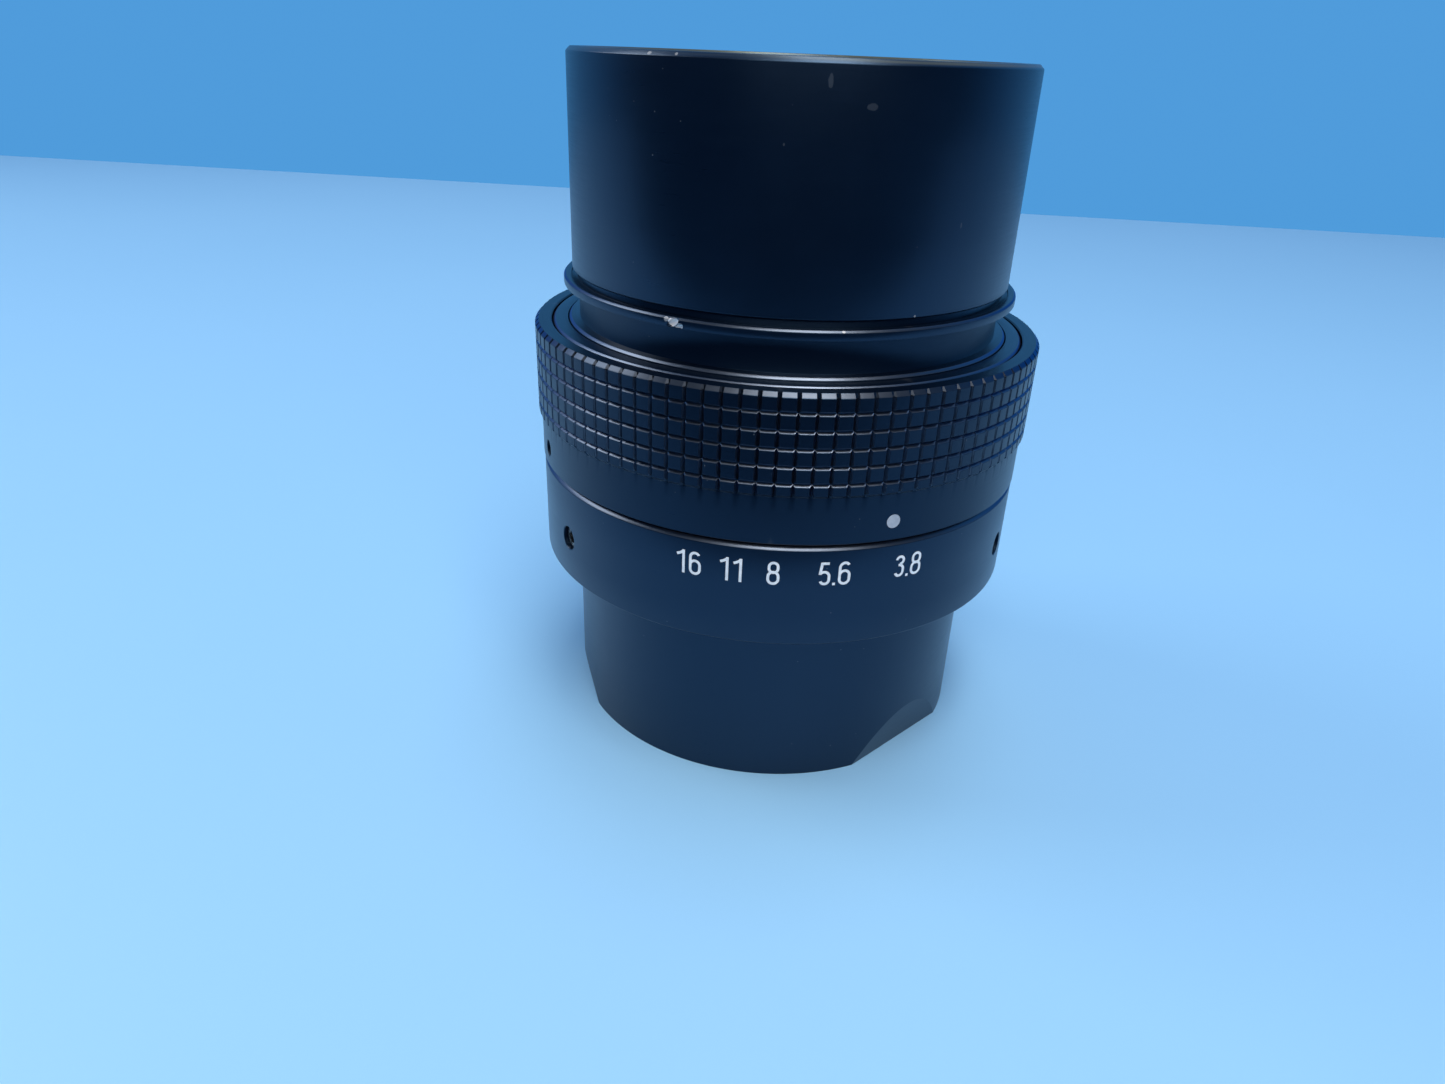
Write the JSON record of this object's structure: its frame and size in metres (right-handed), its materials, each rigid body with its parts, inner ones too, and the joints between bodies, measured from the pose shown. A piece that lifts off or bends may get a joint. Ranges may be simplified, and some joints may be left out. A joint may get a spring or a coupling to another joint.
{
  "type": "enlarger lens",
  "caption": "Round black enlarging lens: knurled aperture ring over a numbered ring, slim mounting barrel above a thin flange, glass groups and an iris inside.",
  "frame": {"origin": "on the optical axis, in the plane of the front rim that the lens stands on", "axes": "+Z along the optical axis from the front (paper side) to the rear (negative side); -Y faces the numbers of the scale"},
  "size_m": [0.066, 0.066, 0.086],
  "materials": {
    "black_anodised": "satin black anodised, fine turning marks, rubbed edges",
    "matt_barrel": "matt black anodised",
    "coated_glass": "polished, coated",
    "brass": "turned",
    "screw_steel": "blackened steel, bright where worn",
    "bright_steel": "polished",
    "white_paint": "engraved and filled numbers and index dot",
    "blade_steel": "blackened spring steel"
  },
  "bodies": {
    "root": {"front_tube": "black_anodised", "scale_ring": "black_anodised", "main_barrel": "matt_barrel", "shoulder_ring": "black_anodised", "mount_flange": "black_anodised", "rear_barrel": "black_anodised", "front_cell": "matt_barrel", "front_spacer": "matt_barrel", "front_retaining_ring": "black_anodised", "front_element": "coated_glass", "front_doublet_outer": "coated_glass", "front_doublet_inner": "coated_glass", "rear_cell": "matt_barrel", "rear_spacer": "matt_barrel", "rear_retaining_ring": "black_anodised", "rear_element": "coated_glass", "rear_doublet_outer": "coated_glass", "rear_doublet_inner": "coated_glass", "iris_base_plate": "matt_barrel", "iris_bearing_ring": "brass", "scale_screw_1": "screw_steel", "scale_screw_2": "screw_steel", "scale_screw_3": "screw_steel", "detent_ball": "bright_steel", "detent_spring": "bright_steel"},
    "aperture_control": {"aperture_ring": "black_anodised", "iris_drive_ring": "brass", "ring_screw_1": "screw_steel", "ring_screw_2": "screw_steel"},
    "blade_1": {"iris_blade_1": "blade_steel"},
    "blade_2": {"iris_blade_2": "blade_steel"},
    "blade_3": {"iris_blade_3": "blade_steel"},
    "blade_4": {"iris_blade_4": "blade_steel"},
    "blade_5": {"iris_blade_5": "blade_steel"},
    "blade_6": {"iris_blade_6": "blade_steel"},
    "blade_7": {"iris_blade_7": "blade_steel"},
    "blade_8": {"iris_blade_8": "blade_steel"}
  },
  "joints": [
    {"name": "aperture_turn", "type": "hinge", "parent": "root", "child": "aperture_control", "pos_m": [0, 0, 0.0457], "axis": [0, 0, 1], "range_deg": [-41.5, 5.1]},
    {"name": "blade_1_swing", "type": "hinge", "parent": "root", "child": "blade_1", "pos_m": [0.02216, 0.00391, 0.041], "axis": [0, 0, 1], "range_deg": [-25.2, 3.3]},
    {"name": "blade_2_swing", "type": "hinge", "parent": "root", "child": "blade_2", "pos_m": [0.01291, 0.01843, 0.04138], "axis": [0, 0, 1], "range_deg": [-25.2, 3.3]},
    {"name": "blade_3_swing", "type": "hinge", "parent": "root", "child": "blade_3", "pos_m": [-0.00391, 0.02216, 0.04176], "axis": [0, 0, 1], "range_deg": [-25.2, 3.3]},
    {"name": "blade_4_swing", "type": "hinge", "parent": "root", "child": "blade_4", "pos_m": [-0.01843, 0.01291, 0.04214], "axis": [0, 0, 1], "range_deg": [-25.2, 3.3]},
    {"name": "blade_5_swing", "type": "hinge", "parent": "root", "child": "blade_5", "pos_m": [-0.02216, -0.00391, 0.04252], "axis": [0, 0, 1], "range_deg": [-25.2, 3.3]},
    {"name": "blade_6_swing", "type": "hinge", "parent": "root", "child": "blade_6", "pos_m": [-0.01291, -0.01843, 0.0429], "axis": [0, 0, 1], "range_deg": [-25.2, 3.3]},
    {"name": "blade_7_swing", "type": "hinge", "parent": "root", "child": "blade_7", "pos_m": [0.00391, -0.02216, 0.04328], "axis": [0, 0, 1], "range_deg": [-25.2, 3.3]},
    {"name": "blade_8_swing", "type": "hinge", "parent": "root", "child": "blade_8", "pos_m": [0.01843, -0.01291, 0.04366], "axis": [0, 0, 1], "range_deg": [-25.2, 3.3]}
  ],
  "couplings": [
    {"joint": "blade_1_swing", "follows": "aperture_turn", "ratio": 0.6},
    {"joint": "blade_2_swing", "follows": "aperture_turn", "ratio": 0.6},
    {"joint": "blade_3_swing", "follows": "aperture_turn", "ratio": 0.6},
    {"joint": "blade_4_swing", "follows": "aperture_turn", "ratio": 0.6},
    {"joint": "blade_5_swing", "follows": "aperture_turn", "ratio": 0.6},
    {"joint": "blade_6_swing", "follows": "aperture_turn", "ratio": 0.6},
    {"joint": "blade_7_swing", "follows": "aperture_turn", "ratio": 0.6},
    {"joint": "blade_8_swing", "follows": "aperture_turn", "ratio": 0.6}
  ]
}
